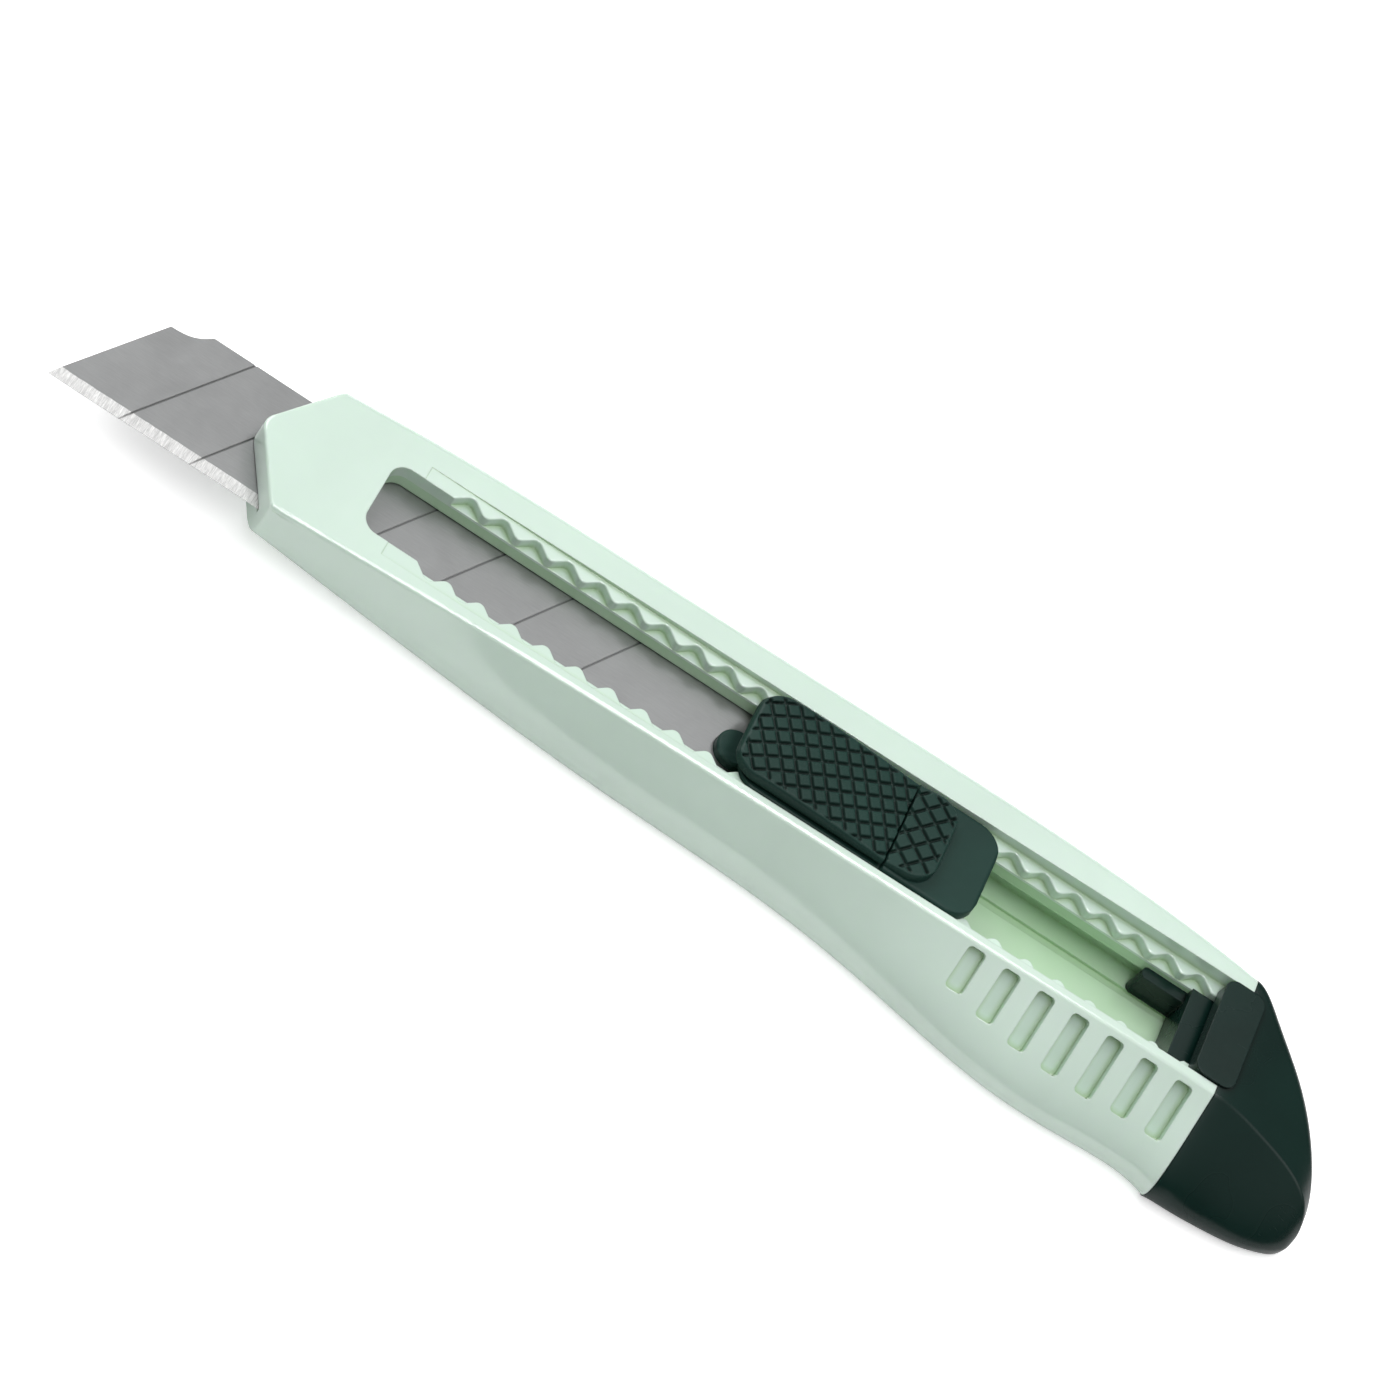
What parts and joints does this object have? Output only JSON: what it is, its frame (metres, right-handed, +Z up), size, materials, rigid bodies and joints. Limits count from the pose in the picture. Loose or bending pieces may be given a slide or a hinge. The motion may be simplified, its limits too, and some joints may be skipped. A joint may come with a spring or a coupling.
{
  "type": "snap off knife",
  "caption": "Slim plastic utility knife with a segmented snap-off steel blade, a click slider with a thumb button, and a pull-off end cap.",
  "frame": {"origin": "on the flat underside, on the blade's centre line, half way along the handle and its cap", "axes": "+X from the blade's tip towards the end cap, +Y from the cutting edge towards the blade's back, +Z up from the flat underside through the thumb button"},
  "size_m": [0.187, 0.0333, 0.0133],
  "materials": {
    "handle_plastic": "glossy",
    "slider_plastic": "satin",
    "cap_plastic": "glossy",
    "blade_steel": "satin",
    "spring_steel": "satin"
  },
  "bodies": {
    "handle": {"handle_body": "handle_plastic"},
    "slider": {"blade": "blade_steel", "blade_carrier": "slider_plastic", "slider_base": "slider_plastic", "lock_spring": "spring_steel", "button_spring": "spring_steel"},
    "button": {"thumb_button": "slider_plastic"},
    "cap": {"end_cap": "cap_plastic"}
  },
  "joints": [
    {"name": "blade_slide", "type": "slide", "parent": "handle", "child": "slider", "axis": [-1, 0, 0], "range_m": [-0.032, 0.049], "deforming": ["lock_spring"]},
    {"name": "button_press", "type": "slide", "parent": "slider", "child": "button", "axis": [0, 0, -1], "range_m": [0, 0.0006], "stiffness_N_per_m": 2000, "springref_m": -0.0003, "deforming": ["button_spring"]},
    {"name": "cap_pull", "type": "slide", "parent": "handle", "child": "cap", "axis": [1, 0, 0], "range_m": [0, 0.02]}
  ]
}
